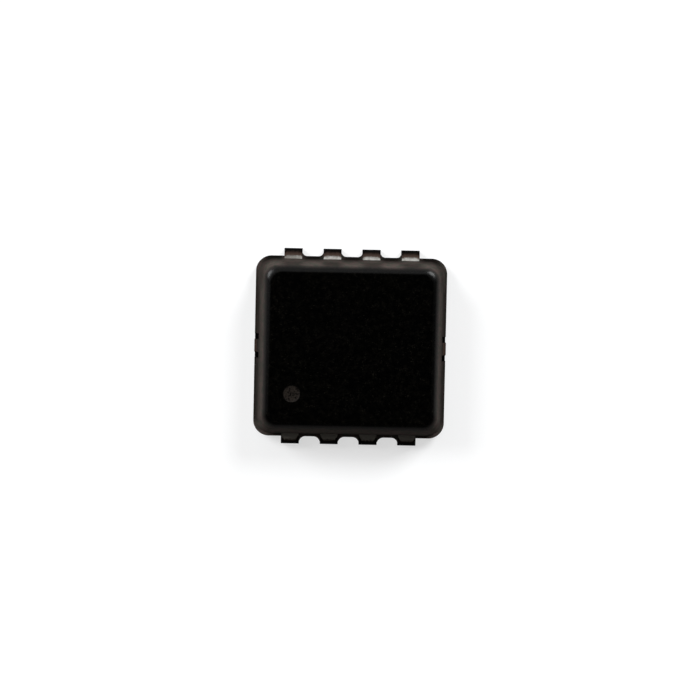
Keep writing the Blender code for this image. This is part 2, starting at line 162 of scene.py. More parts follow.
def rounded_outline(corners: Sequence[Corner], steps: int) -> list[Vector]:
    """Walk round an anticlockwise outline, with an arc at every corner that has a radius.

    Args:
        corners: the outline's corners.
        steps: chords in each arc.

    Returns:
        Plan points in order.
    """
    points = []
    for index, spot in enumerate(corners):
        corner = Vector((spot.x, spot.y))
        before = corners[index - 1]
        after = corners[(index + 1) % len(corners)]
        inward = (corner - Vector((before.x, before.y))).normalized()
        onward = (Vector((after.x, after.y)) - corner).normalized()
        if spot.radius == 0.0:
            points.append(corner)
            continue
        side = math.copysign(1.0, inward.cross(onward))
        turn = inward.angle(onward)
        out = Vector((inward.y, -inward.x)) * side * spot.radius
        centre = corner - inward * spot.radius * math.tan(turn / 2) - out
        for step in range(steps + 1):
            arm = out.copy()
            arm.rotate(Matrix.Rotation(side * turn * step / steps, 2))
            points.append(centre + arm)
    return points


def rectangle(low: Sequence[float], high: Sequence[float], radius: float = 0.0) -> list[Corner]:
    """Corners of a rectangle, anticlockwise."""
    return [
        Corner(low[0], low[1], radius),
        Corner(high[0], low[1], radius),
        Corner(high[0], high[1], radius),
        Corner(low[0], high[1], radius),
    ]


def new_object(name: str, shape: bmesh.types.BMesh) -> bpy.types.Object:
    """Put a finished shape in the scene.

    Args:
        name: the object's name.
        shape: the shape, which is freed.

    Returns:
        The new object, at the origin.
    """
    bmesh.ops.recalc_face_normals(shape, faces=shape.faces)
    mesh = bpy.data.meshes.new(name)
    shape.to_mesh(mesh)
    shape.free()
    made = bpy.data.objects.new(name, mesh)
    bpy.context.scene.collection.objects.link(made)
    return made


def loft(name: str, rings: Sequence[Sequence[Vector]]) -> bpy.types.Object:
    """A closed solid through rings with as many points each, with a flat cap at both ends.

    Args:
        name: the object's name.
        rings: the rings from one end to the other.

    Returns:
        The solid.
    """
    shape = bmesh.new()
    rows = [[shape.verts.new(point) for point in ring] for ring in rings]
    shape.faces.new(rows[0])
    shape.faces.new(rows[-1])
    for low, high in zip(rows, rows[1:]):
        for index, vert in enumerate(low):
            shape.faces.new((low[index - 1], vert, high[index], high[index - 1]))
    return new_object(name, shape)


def prism(name: str, corners: Sequence[Corner], low: float, high: float) -> bpy.types.Object:
    """A flat plate with upright sides.

    Args:
        name: the object's name.
        corners: the plate's outline.
        low: height of the underside.
        high: height of the top.

    Returns:
        The plate.
    """
    outline = rounded_outline(corners, PLATE_ARC_STEPS)
    return loft(name, [[Vector((x, y, z)) for x, y in outline] for z in (low, high)])


def evaluated_mesh(obj: bpy.types.Object) -> bpy.types.Mesh:
    """A copy of the mesh that an object shows, with its modifiers done."""
    bpy.context.view_layer.update()
    return bpy.data.meshes.new_from_object(obj.evaluated_get(bpy.context.evaluated_depsgraph_get()))


def settle(obj: bpy.types.Object) -> None:
    """Apply all the modifiers of an object."""
    mesh = evaluated_mesh(obj)
    obj.modifiers.clear()
    obj.data = mesh


def combine(obj: bpy.types.Object, others: Iterable[bpy.types.Object], operation: Operation) -> None:
    """Join shapes to an object or cut them from it, and use them up.

    Args:
        obj: the object to change.
        others: the shapes.
        operation: whether they are joined or cut.
    """
    for other in others:
        change = obj.modifiers.new(other.name, "BOOLEAN")
        change.operation = operation.value
        change.solver = "EXACT"
        change.object = other
        settle(obj)
        bpy.data.objects.remove(other)


def flattened(mesh: bpy.types.Mesh) -> bmesh.types.BMesh:
    """A copy of a mesh with its doubled points welded, and each flat area made one face."""
    shape = bmesh.new()
    shape.from_mesh(mesh)
    bmesh.ops.remove_doubles(shape, verts=shape.verts, dist=WELD_DISTANCE)
    bmesh.ops.dissolve_limit(shape, angle_limit=FLAT_TURN, verts=shape.verts, edges=shape.edges)
    return shape


def tidy_flats(obj: bpy.types.Object) -> None:
    """Weld the doubled points of an object and make each flat area one face."""
    shape = flattened(obj.data)
    shape.to_mesh(obj.data)
    shape.free()


def grown_copy(obj: bpy.types.Object, gap: float) -> bpy.types.Object:
    """A copy of an object with every face moved out by a gap.

    Args:
        obj: a closed piece.
        gap: how far to move the faces.

    Returns:
        The grown copy, for use as a cutter.
    """
    shape = flattened(evaluated_mesh(obj))
    bmesh.ops.recalc_face_normals(shape, faces=shape.faces)
    shape.normal_update()
    moves = [(vert, vert.normal * vert.calc_shell_factor() * gap) for vert in shape.verts]
    for vert, move in moves:
        vert.co += move
    return new_object(f"{obj.name}_seat", shape)


@dataclass(frozen=True)
class Fade:
    """A soft change from one share to another, while a measure goes from start to stop."""

    start: float
    stop: float
    before: float = 0.0
    after: float = 1.0


@dataclass(frozen=True)
class Cloud:
    """A noise: the width of its clouds, its octaves, its seed, and how far it is drawn out along each axis."""

    size: float
    detail: float = 3.0
    seed: float = 0.0
    stretch: Colour = (1.0, 1.0, 1.0)


class Strand:
    """A number, colour or vector on its way through a finish's nodes, which can stand in an expression."""

    def __init__(self, sheet: "Sheet", socket: bpy.types.NodeSocket) -> None:
        """Wrap a socket.

        Args:
            sheet: the sheet that the socket's node is on.
            socket: an output socket.
        """
        self.sheet = sheet
        self.socket = socket

    def _with(self, operation: str, first: "Strand | Number", second: "Strand | Number" = 0.0) -> "Strand":
        """The result of a Math node on one or two numbers."""
        return self.sheet.node("ShaderNodeMath", {"operation": operation}, {0: first, 1: second})

    def __add__(self, other: "Strand | Number") -> "Strand":
        """Sum."""
        return self._with("ADD", self, other)

    def __radd__(self, other: Number) -> "Strand":
        """Sum, from the right."""
        return self._with("ADD", other, self)

    def __sub__(self, other: "Strand | Number") -> "Strand":
        """Difference."""
        return self._with("SUBTRACT", self, other)

    def __rsub__(self, other: Number) -> "Strand":
        """Difference, from the right."""
        return self._with("SUBTRACT", other, self)

    def __mul__(self, other: "Strand | Number") -> "Strand":
        """Product."""
        return self._with("MULTIPLY", self, other)

    def __rmul__(self, other: Number) -> "Strand":
        """Product, from the right."""
        return self._with("MULTIPLY", other, self)

    def __abs__(self) -> "Strand":
        """Size without its sign."""
        return self._with("ABSOLUTE", self)

    def root(self) -> "Strand":
        """Square root."""
        return self._with("SQRT", self)

    def most(self, other: "Strand | Number") -> "Strand":
        """The larger of two numbers."""
        return self._with("MAXIMUM", self, other)

    def towards(self, other: "Strand | Number", share: "Strand | Number") -> "Strand":
        """Part of the way to another number, and all of it where the share is 1."""
        return self + (other - self) * share

    def fade(self, fade: Fade) -> "Strand":
        """The share that a fade gives for this measure.

        Args:
            fade: the fade, whose start may lie above its stop.

        Returns:
            The share: what the fade has before its start, or after its stop, or softly between them.
        """
        inputs = {
            "Value": self,
            "From Min": fade.start,
            "From Max": fade.stop,
            "To Min": fade.before,
            "To Max": fade.after,
        }
        return self.sheet.node("ShaderNodeMapRange", {"interpolation_type": "SMOOTHSTEP"}, inputs)


# The colour sockets of a Mix node
MIX_FIRST = 6
MIX_SECOND = 7
MIX_RESULT = 2

# How far a seed of 1 moves a pattern along each axis
NOISE_AXES: Colour = (1.0, 1.7, 2.3)
CELL_AXES: Colour = (1.0, 1.3, 2.1)


class Sheet:
    """The node tree of one material, or of the world."""

    def __init__(self, owner: bpy.types.Material | bpy.types.World) -> None:
        """Start an empty tree.

        Args:
            owner: the material or world that the tree belongs to.
        """
        owner.use_nodes = True
        self.tree = owner.node_tree
        self.tree.nodes.clear()

    def node(
        self,
        kind: str,
        settings: dict[str, object] | None = None,
        inputs: dict[str | int, object] | None = None,
        output: str | int = 0,
    ) -> Strand | None:
        """Add a node.

        Args:
            kind: the node's type.
            settings: the node's own properties, set first.
            inputs: a number, colour, vector or strand for each socket, by name or index.
            output: the socket to hand back, by name or index.

        Returns:
            The output as a strand, or nothing for a node without outputs.
        """
        made = self.tree.nodes.new(kind)
        for name, value in (settings or {}).items():
            setattr(made, name, value)
        for key, value in (inputs or {}).items():
            socket = made.inputs[key]
            if isinstance(value, Strand):
                self.tree.links.new(value.socket, socket)
            elif socket.type == "RGBA":
                socket.default_value = (*value, 1.0)
            else:
                socket.default_value = value
        return Strand(self, made.outputs[output]) if made.outputs else None

    def place(self) -> Strand:
        """The place on the piece, in metres."""
        return self.node("ShaderNodeTexCoord", output="Object")

    def axes(self) -> tuple[Strand, Strand, Strand]:
        """X, Y and Z of the place on the piece."""
        spot = self.place()
        return tuple(self.node("ShaderNodeSeparateXYZ", inputs={0: spot}, output=axis) for axis in "XYZ")

    def scaled_place(self, scale: Colour, seed: float, seed_axes: Colour) -> Strand:
        """The place on the piece, scaled along each axis, and then moved by the seed times a number for each axis."""
        shift = tuple(seed * share for share in seed_axes)
        return self.node("ShaderNodeVectorMath", {"operation": "MULTIPLY_ADD"}, {0: self.place(), 1: scale, 2: shift})

    def noise(self, cloud: Cloud) -> Strand:
        """Cloudy noise from 0 to 1."""
        scale = tuple(1.0 / (cloud.size * factor) for factor in cloud.stretch)
        spot = self.scaled_place(scale, cloud.seed, NOISE_AXES)
        return self.node("ShaderNodeTexNoise", {}, {"Vector": spot, "Scale": 1.0, "Detail": cloud.detail})

    def cells(self, size: float, seed: float) -> Strand:
        """The distance to the middle of the nearest of cells of a given width, in widths."""
        spot = self.scaled_place((1.0 / size,) * 3, seed, CELL_AXES)
        return self.node("ShaderNodeTexVoronoi", {}, {"Vector": spot, "Scale": 1.0})

    def from_lead(self, x: Strand, pitch: float) -> Strand:
        """How far a place lies along X from the middle of the nearest lead, which is at most half the pitch."""
        column = self.node("ShaderNodeMath", {"operation": "WRAP"}, {0: x, 1: pitch, 2: 0.0})
        return abs(column - pitch / 2)

    def mix(self, factor: Strand | float, first: Strand | Colour, second: Strand | Colour) -> Strand:
        """A colour between two colours."""
        inputs = {"Factor": factor, MIX_FIRST: first, MIX_SECOND: second}
        return self.node("ShaderNodeMix", {"data_type": "RGBA"}, inputs, MIX_RESULT)

    def bump(self, height: Strand, depth: float) -> Strand:
        """A normal from a height of 0 to 1, where 1 stands for depth in metres."""
        return self.node("ShaderNodeBump", {}, {"Height": height, "Distance": depth, "Strength": 1.0})

    def shade(self, **inputs: object) -> None:
        """End in a Principled BSDF, with a value or strand for its sockets, by name with _ for a space."""
        named = {name.replace("_", " "): value for name, value in inputs.items()}
        self.end(self.node("ShaderNodeBsdfPrincipled", {}, named))

    def end(self, surface: Strand, kind: str = "ShaderNodeOutputMaterial") -> None:
        """Lead a shader to the output."""
        self.node(kind, {}, {"Surface": surface})


def new_material(name: str) -> tuple[bpy.types.Material, Sheet]:
    """A material with an empty sheet."""
    made = bpy.data.materials.new(name)
    return made, Sheet(made)


@dataclass(frozen=True)
class RoundMark:
    """Where the round mark beside lead 1 lies, in plan."""

    x: float
    y: float
    radius: float


@dataclass(frozen=True)
class Nick:
    """Where the nicks beside the tie bars lie: from the middle along X and Y, and above the board."""

    floor_x: float
    near_y: float
    far_y: float
    low_z: float


@dataclass(frozen=True)
class MouldingFinish:
    """Matt black epoxy with silica grains, painted sheen in brown on the drafted walls, and grey where a laser marked
    it.
    """

    sizes: Sizes
    mark: RoundMark
    nick: Nick

    black: Colour = (0.0001, 0.0001, 0.0001)
    worn: Colour = (0.0018, 0.0016, 0.0012)
    brown: Colour = (0.0710, 0.0535, 0.0485)
    olive: Colour = (0.0520, 0.0500, 0.0415)
    grain: Colour = (0.0140, 0.0125, 0.0095)
    marked: Colour = (0.0160, 0.0128, 0.0104)

    cloud: Cloud = Cloud(0.22 * MM, seed=2.0)
    patch: Cloud = Cloud(80 * UM, seed=9.0)
    coarse: Cloud = Cloud(45 * UM, 2.0, seed=5.0)
    ragged: Cloud = Cloud(28 * UM, seed=11.0)
    dust: Cloud = Cloud(26 * UM, seed=13.0)
    fine: Cloud = Cloud(9 * UM, seed=1.0)

    # How deep the relief is, and what each noise gives to it
    relief: float = 0.8 * UM
    relief_fine: float = 0.55
    relief_coarse: float = 0.45
    relief_mark: float = 1.2

    # The roughness of the even moulding, and what the rest adds to it
    roughness: float = 0.50
    rough_coarse: float = 0.10
    rough_mark: float = 0.20
    rough_wall: float = 0.30
    specular: float = 0.006

    olive_patches: Fade = Fade(0.42, 0.60)
    worn_patches: Fade = Fade(0.38, 0.66)
    worn_dust: Fade = Fade(0.38, 0.64)

    speck_size: float = 22 * UM
    speck_seed: float = 4.0
    speck_edge: Fade = Fade(0.34, 0.16)
    speck_cloud: Cloud = Cloud(60 * UM, 1.0, seed=7.0)
    speck_fields: Fade = Fade(0.5, 0.7, 0.0, 0.8)

    # By the depth below the top
    wall: Fade = Fade(0.012 * MM, 0.12 * MM)
    gloss: Fade = Fade(-0.2 * UM, 5 * UM, 0.0, 0.29)
    gloss_roughness: float = 0.27

    # By the place along Y, because the gloss is weaker on the source side
    gloss_kept: Fade = Fade(-0.95 * MM, -1.20 * MM, 1.0, 0.35)

    # The painted sheen where no noise strengthens it, and what the two noises add
    sheen_even: float = 0.50
    sheen_clouds: float = 0.45
    sheen_dust: float = 0.40

    # By the height above the copper; where the sheen fades, that is painted shade
    sheen_climb: Fade = Fade(-0.12 * MM, 0.45 * MM)
    source_sheen: Fade = Fade(0.50 * MM, 0.18 * MM, 0.80, 1.16)
    sheen_over_lead: Fade = Fade(0.32 * MM, 0.15 * MM, 0.47, 0.67)

    # By the distance from the ends' rim, the source side's rim, a lead's middle, the middle along Y and the underside
    end_sheen: Fade = Fade(0.10 * MM, 0.04 * MM, 0.0, 0.42)
    source_wall: Fade = Fade(0.30 * MM, 0.18 * MM)
    over_lead: Fade = Fade(0.25 * MM, 0.07 * MM)
    drain_wall: Fade = Fade(0.8 * MM, 1.2 * MM)
    off_board: Fade = Fade(4 * UM, 30 * UM)

    # By the distance inside a nick's faces
    nick_rim: Fade = Fade(-6 * UM, -1 * UM)

    # By the distance past the mark's radius, by the depth below the top, and by the ragged noise
    mark_rim: Fade = Fade(4 * UM, -14 * UM)
    mark_reach: Fade = Fade(0.06 * MM, 0.03 * MM)
    mark_patches: Fade = Fade(0.26, 0.62)
    mark_wobble: float = 50 * UM

    def in_nick(self, x: Strand, y: Strand, z: Strand) -> Strand:
        """1 on the faces of the nicks beside the tie bars, and 0 elsewhere."""
        nick = self.nick
        share = (z - nick.low_z).fade(self.nick_rim)
        for inside in (abs(x) - nick.floor_x, abs(y) - nick.near_y, nick.far_y - abs(y)):
            share = share * inside.fade(self.nick_rim)
        return share

    def wall_sheen(self, sheet: Sheet, x: Strand, y: Strand, z: Strand) -> Strand:
        """How much painted sheen a wall shows at each place: it stands in for the floor's reflection in the walls.

        It fades towards the foot, a painted shade there, but less so at the two ends. On the source side, and over
        the drain leads, it fades towards the top instead: painted shade on the side away from the lamps, and a
        painted reflection of the darker leads. The underside and the nicks have none.

        Args:
            sheet: the sheet of the finish.
            x: the place along X.
            y: the place along Y.
            z: the height.

        Returns:
            The share.
        """
        height = z - self.sizes.copper
        ends = (self.sizes.rim_x - abs(x)).fade(self.end_sheen)
        source_wall = (y + self.sizes.rim_y).fade(self.source_wall)
        over_lead = sheet.from_lead(x, self.sizes.lead_pitch).fade(self.over_lead) * y.fade(self.drain_wall)
        share = height.fade(self.sheen_climb).most(ends)
        share = share.towards(height.fade(self.source_sheen), source_wall)
        share = share.towards(height.fade(self.sheen_over_lead), over_lead)
        share = share * (z - self.sizes.standoff).fade(self.off_board) * (1 - self.in_nick(x, y, z))
        clouds = self.sheen_clouds * sheet.noise(self.cloud) + self.sheen_dust * sheet.noise(self.dust)
        return share * (self.sheen_even + clouds)

    def base(self, sheet: Sheet, wall_sheen: Strand) -> Strand:
        """The colour without the mark.

        Args:
            sheet: the sheet of the finish.
            wall_sheen: how much of the painted sheen shows.

        Returns:
            The colour.
        """
        patch = sheet.noise(self.patch)
        worn = patch.fade(self.worn_patches) * sheet.noise(self.dust).fade(self.worn_dust)
        flat = sheet.mix(worn, self.black, self.worn)
        # The walls' brown and olive are painted sheen, which stands in for the floor's reflection
        side = sheet.mix(patch.fade(self.olive_patches), self.brown, self.olive)
        speck = sheet.cells(self.speck_size, self.speck_seed).fade(self.speck_edge)
        speck = speck * sheet.noise(self.speck_cloud).fade(self.speck_fields)
        return sheet.mix(speck, sheet.mix(wall_sheen, flat, side), self.grain)

    def mark_share(self, ragged: Strand, x: Strand, y: Strand, depth: Strand) -> Strand:
        """How strongly a place is marked, broken up by a ragged noise, and 0 away from the round mark."""
        away_x = x - self.mark.x
        away_y = y - self.mark.y
        away = (away_x * away_x + away_y * away_y).root() + (ragged - 0.5) * self.mark_wobble
        inside = (away - self.mark.radius).fade(self.mark_rim)
        return inside * depth.fade(self.mark_reach) * ragged.fade(self.mark_patches)

    def material(self) -> bpy.types.Material:
        """Build the material.

        Returns:
            The material.
        """
        made, sheet = new_material(Slot.MOULDING.value)
        x, y, z = sheet.axes()
        depth = self.sizes.top - z
        wall = depth.fade(self.wall)
        ragged = sheet.noise(self.ragged)
        mark = self.mark_share(ragged, x, y, depth)
        base = self.base(sheet, wall * self.wall_sheen(sheet, x, y, z))
        coarse = sheet.noise(self.coarse)
        height = self.relief_fine * sheet.noise(self.fine) + self.relief_coarse * coarse
        height = height + self.relief_mark * mark * ragged
        rough = self.roughness + self.rough_coarse * coarse + self.rough_mark * mark + self.rough_wall * wall
        sheet.shade(
            Base_Color=sheet.mix(mark, base, self.marked),
            Roughness=rough,
            Specular_IOR_Level=self.specular,
            Coat_Weight=depth.fade(self.gloss) * (1 - wall) * y.fade(self.gloss_kept),
            Coat_Roughness=self.gloss_roughness,
            Normal=sheet.bump(height, self.relief),
        )
        return made


@dataclass(frozen=True)
class TinnedCopperFinish:
    """Matt tin over copper, with bare brown copper where the tips and the tie bars were sheared."""

    sizes: Sizes

    tin: Colour = (0.62, 0.61, 0.58)
    dull: Colour = (0.40, 0.385, 0.355)
    copper: Colour = (0.064, 0.042, 0.033)
    # Near black at the sheared ends: partly dark bare copper, partly painted shade on the rolled tips
    end_dark_and_shade: Colour = (0.0007, 0.0005, 0.0004)
    shaded: Colour = (0.185, 0.172, 0.150)

    cloud: Cloud = Cloud(70 * UM, 4.0, seed=3.0)
    ragged: Cloud = Cloud(30 * UM, seed=8.0)
    grain: Cloud = Cloud(7 * UM, seed=6.0)
    drawn: Cloud = Cloud(5 * UM, 2.0, seed=9.0, stretch=(14.0, 1.0, 14.0))

    # How deep the relief is, and what each noise gives to it
    relief: float = 1.4 * UM
    relief_grain: float = 0.5
    relief_drawn: float = 0.3
    relief_sheared: float = 0.9

    roughness: float = 0.50
    rough_clouds: float = 0.14
    metallic: float = 0.90
    metallic_lost: float = 0.45  # where it is sheared, and as much again where it is torn
    specular: float = 0.02

    dull_clouds: Fade = Fade(0.35, 0.66)
    pad_clouds: float = 0.30  # how strong they stay on the pad

    # By the distance from the rim, from the first lead, from a lead's middle and from the ends' rim
    on_lead: Fade = Fade(0.30 * MM, 0.10 * MM)
    first_shaded: Fade = Fade(0.20 * MM, 0.0, 0.0, 0.74)
    lead_side: Fade = Fade(0.09 * MM, 0.155 * MM)
    sheared_tie: Fade = Fade(80 * UM, 60 * UM)

    # By the distance from the tip, and by the height
    sheared_tip: Fade = Fade(150 * UM, 106 * UM)
    tip_torn_and_shade: Fade = Fade(112 * UM, 36 * UM)
    foot_torn_and_shade: Fade = Fade(0.14 * MM, 0.10 * MM)

    tip_wobble: float = 40 * UM
    # The dark reaches back along lead sides, more on the source row: sheared copper and painted shadow by the burrs
    side_reach: float = 20 * UM
    source_reach: float = 45 * UM

    def material(self) -> bpy.types.Material:
        """Build the material.

        Returns:
            The material.
        """
        made, sheet = new_material(Slot.TIN.value)
        x, y, z = sheet.axes()
        cloud = sheet.noise(self.cloud)
        ragged = sheet.noise(self.ragged)
        source = y.fade(Fade(0.0, -self.sizes.rim_y))
        on_lead = (self.sizes.rim_y - abs(y)).fade(self.on_lead)
        mottled = cloud.fade(self.dull_clouds) * (self.pad_clouds + (1 - self.pad_clouds) * on_lead)
        plated = sheet.mix(mottled, self.tin, self.dull)
        first = (x - self.sizes.lead_x(0)).fade(self.first_shaded) * on_lead
        plated = sheet.mix(source.most(first), plated, self.shaded)

        lead_side = sheet.from_lead(x, self.sizes.lead_pitch).fade(self.lead_side)
        from_tip = self.sizes.tip_y - abs(y) - (ragged - 0.5) * self.tip_wobble
        from_tip = from_tip - lead_side * (self.side_reach + self.source_reach * source)
        tip = (from_tip + self.source_reach * source).fade(self.sheared_tip)
        sheared = tip.most((self.sizes.rim_x - abs(x)).fade(self.sheared_tie))
        # Near black at the very ends and low on the sheared faces: partly dark bare copper, partly painted shade
        torn_and_shade = from_tip.fade(self.tip_torn_and_shade).most(z.fade(self.foot_torn_and_shade))
        bare = sheet.mix(torn_and_shade, self.copper, self.end_dark_and_shade)
        height = self.relief_grain * sheet.noise(self.grain) + self.relief_drawn * sheet.noise(self.drawn)
        height = height + self.relief_sheared * ragged * sheared
        sheet.shade(
            Base_Color=sheet.mix(sheared, plated, bare),
            Roughness=self.roughness + self.rough_clouds * cloud,
            Metallic=self.metallic - self.metallic_lost * sheared - self.metallic_lost * torn_and_shade,
            Specular_IOR_Level=self.specular,
            Normal=sheet.bump(height, self.relief),
        )
        return made


@dataclass(frozen=True)
class MetalFinish:
    """A metal with a grain, which two colours share in clouds."""

    slot: Slot
    light: Colour
    dark: Colour
    roughness: float
    cloud: Cloud
    grain: Cloud
    relief: float
    rough_clouds: float = 0.12
    dark_clouds: Fade = Fade(0.35, 0.65)

    def material(self) -> bpy.types.Material:
        """Build the material.

        Returns:
            The material.
        """
        made, sheet = new_material(self.slot.value)
        cloud = sheet.noise(self.cloud)
        sheet.shade(
            Base_Color=sheet.mix(cloud.fade(self.dark_clouds), self.light, self.dark),
            Roughness=self.roughness + self.rough_clouds * cloud,
            Metallic=1.0,
            Normal=sheet.bump(sheet.noise(self.grain), self.relief),
        )
        return made


@dataclass(frozen=True)
class SiliconFinish:
    """A grey die with bright aluminium on its top."""

    metal_z: float
    silicon: Colour = (0.085, 0.088, 0.10)
    aluminium: Colour = (0.62, 0.62, 0.64)
    sawn: Cloud = Cloud(3 * UM, 2.0, seed=3.0, stretch=(30.0, 30.0, 1.0))
    grain: Cloud = Cloud(4 * UM, 2.0, seed=6.0)
    metal_edge: Fade = Fade(-4 * UM, -2 * UM)
    relief: float = 0.6 * UM
    roughness: float = 0.22
    rough_sawn: float = 0.14
    rough_metal: float = 0.10
    silicon_metallic: float = 0.35

    def material(self) -> bpy.types.Material:
        """Build the material.

        Returns:
            The material.
        """
        made, sheet = new_material(Slot.SILICON.value)
        metal = (sheet.axes()[2] - self.metal_z).fade(self.metal_edge)
        sawn = sheet.noise(self.sawn)
        sheet.shade(
            Base_Color=sheet.mix(metal, self.silicon, self.aluminium),
            Roughness=self.roughness + self.rough_sawn * sawn + self.rough_metal * metal,
            Metallic=self.silicon_metallic + (1 - self.silicon_metallic) * metal,
            Normal=sheet.bump(sawn * (1 - metal) + sheet.noise(self.grain) * metal, self.relief),
        )
        return made


SOLDER_FINISH = MetalFinish(
    slot=Slot.SOLDER,
    light=(0.46, 0.46, 0.47),
    dark=(0.30, 0.30, 0.31),
    roughness=0.36,
    cloud=Cloud(90 * UM, seed=2.0),
    grain=Cloud(8 * UM, seed=5.0),
    relief=1.0 * UM,
)

WIRE_FINISH = MetalFinish(
    slot=Slot.COPPER,
    light=(0.86, 0.46, 0.29),
    dark=(0.70, 0.33, 0.20),
    roughness=0.24,
    cloud=Cloud(40 * UM, seed=2.0),
    grain=Cloud(3 * UM, seed=5.0),
    relief=0.3 * UM,
)


def dress(obj: bpy.types.Object, material: bpy.types.Material) -> None:
    """Give an object one material."""
    if not obj.material_slots:
        obj.data.materials.append(material)
    for holder in obj.material_slots:
        holder.material = material


def present(piece: bpy.types.Object, node: str, material: bpy.types.Material, shade: Shade) -> None:
    """Smooth and dress a fine piece, attach it to the body, and hide the solid that it stands for.

    Args:
        piece: the fine piece.
        node: the solid that it stands for.
        material: the finish.
        shade: how its faces are shaded.
    """
    piece.data.shade_smooth()
    piece.data.set_sharp_from_angle(angle=math.radians(shade.value))
    weighted = piece.modifiers.new("weighted_normals", "WEIGHTED_NORMAL")
    weighted.mode = "FACE_AREA"
    weighted.weight = FACE_AREA_WEIGHT
    weighted.keep_sharp = True
    dress(piece, material)
    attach(piece, BODY)
    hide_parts(node)
    log.info("%s: %d faces in place of %s", piece.name, len(piece.data.polygons), node)


@dataclass
class CopperFrame:
    """The drain paddle with its leads and tie bars, the source bar with its leads, and the gate lead."""

    sizes: Sizes
    etched: float = 0.10 * MM
    corner: float = 0.05 * MM
    tip_roll: float = 0.06 * MM
    side_roll: float = 0.012 * MM
    burr: float = 0.004 * MM
    pad_overhang: float = 0.10 * MM
    pad_inset: float = 0.30 * MM
    ledge: float = 0.15 * MM
    land_length: float = 0.40 * MM
    bar_inset: float = 0.08 * MM
    roll_steps: int = 8
    side_steps: int = 3
    pieces: dict[str, bpy.types.Object] = field(default_factory=dict)

    def roll(self) -> list[tuple[float, float]]:
        """The rolled end of a lead, towards the tip: how far out it is along Y, and the height of the top there."""
        stations = []
        for step in range(self.roll_steps + 1):
            turn = math.pi / 2 * step / self.roll_steps
            along = self.sizes.tip_y - self.tip_roll + self.tip_roll * math.sin(turn)
            stations.append((along, self.sizes.copper - self.tip_roll * (1 - math.cos(turn))))
        return stations

    def blade(self, number: int, side: Side, root_y: float) -> bpy.types.Object:
        """The full-thickness end of a lead, rolled over at its top edges and burred at its foot.

        Args:
            number: the lead in its row, from 0 at -X.
            side: the row.
            root_y: where it joins the rest of the piece.

        Returns:
            The blade.
        """
        x = self.sizes.lead_x(number)
        half = self.sizes.lead_width / 2
        sign = side.value
        rings = []
        for along, height in [(root_y * sign, self.sizes.copper), *self.roll()]:
            section = rounded_outline(self.section(half, height), self.side_steps)
            rings.append([Vector((x + spot.x, sign * along, spot.y)) for spot in section])
        return loft(f"blade_{side.name.lower()}_{number}", rings)

    def section(self, half: float, height: float) -> list[Corner]:
        """A lead's cross-section at a given height of its top."""
        return [
            Corner(-half, 0.0, self.burr),
            Corner(half, 0.0, self.burr),
            Corner(half, height, self.side_roll),
            Corner(-half, height, self.side_roll),
        ]

    def plate(self, name: str, corners: Sequence[Corner], low: float) -> bpy.types.Object:
        """A plate that reaches up to the top of the copper."""
        return prism(name, corners, low, self.sizes.copper)

    def drain(self) -> bpy.types.Object:
        """Build the paddle, its tie bars and its four leads.

        Returns:
            The drain frame.
        """
        low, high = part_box("drain_frame")
        paddle_x = self.sizes.leads_end_x() + self.pad_overhang + self.ledge
        pad_x = paddle_x - self.ledge
        top_y = self.sizes.rim_y - self.pad_inset
        tie = self.sizes.tie_width / 2
        radius = self.corner
        outline = [
            Corner(-paddle_x, low.y, radius),
            Corner(paddle_x, low.y, radius),
            Corner(paddle_x, -tie, radius),
            Corner(high.x, -tie),
            Corner(high.x, tie),
            Corner(paddle_x, tie, radius),
            Corner(paddle_x, top_y, radius),
            Corner(-paddle_x, top_y, radius),
            Corner(-paddle_x, tie, radius),
            Corner(low.x, tie),
            Corner(low.x, -tie),
            Corner(-paddle_x, -tie, radius),
        ]
        paddle = self.plate("drain_lead_frame", outline, self.sizes.copper - self.etched)
        pad = self.plate("pad", rectangle((-pad_x, low.y + self.ledge), (pad_x, top_y), radius), 0.0)
        root = top_y - radius
        blades = [self.blade(number, Side.DRAIN, root) for number in range(self.sizes.leads_per_side)]
        combine(paddle, [pad, *blades], Operation.JOIN)
        return paddle

    def bar(self, name: str, node: str, numbers: Iterable[int]) -> bpy.types.Object:
        """Build a half-etched bar with its leads.

        Args:
            name: the piece's name.
            node: its solid, which gives the bar's ends.
            numbers: its leads in the row.

        Returns:
            The piece.
        """
        low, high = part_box(node)
        bar_low = self.bar_inset - self.sizes.rim_y
        outline = rectangle((low.x, bar_low), (high.x, high.y), self.corner)
        made = self.plate(name, outline, self.sizes.copper - self.etched)
        root = self.land_length - self.sizes.tip_y
        combine(made, [self.blade(number, Side.SOURCE, root) for number in numbers], Operation.JOIN)
        return made

    def build(self, material: bpy.types.Material) -> None:
        """Build and dress the three pieces.

        Args:
            material: the tinned finish.
        """
        split = self.sizes.source_leads
        self.pieces = {
            "drain_frame": self.drain(),
            "source_frame": self.bar("source_lead_frame", "source_frame", range(split)),
            "gate_lead": self.bar("gate_lead_frame", "gate_lead", range(split, self.sizes.leads_per_side)),
        }
        for node, piece in self.pieces.items():
            tidy_flats(piece)
            present(piece, node, material, Shade.ROUNDED)


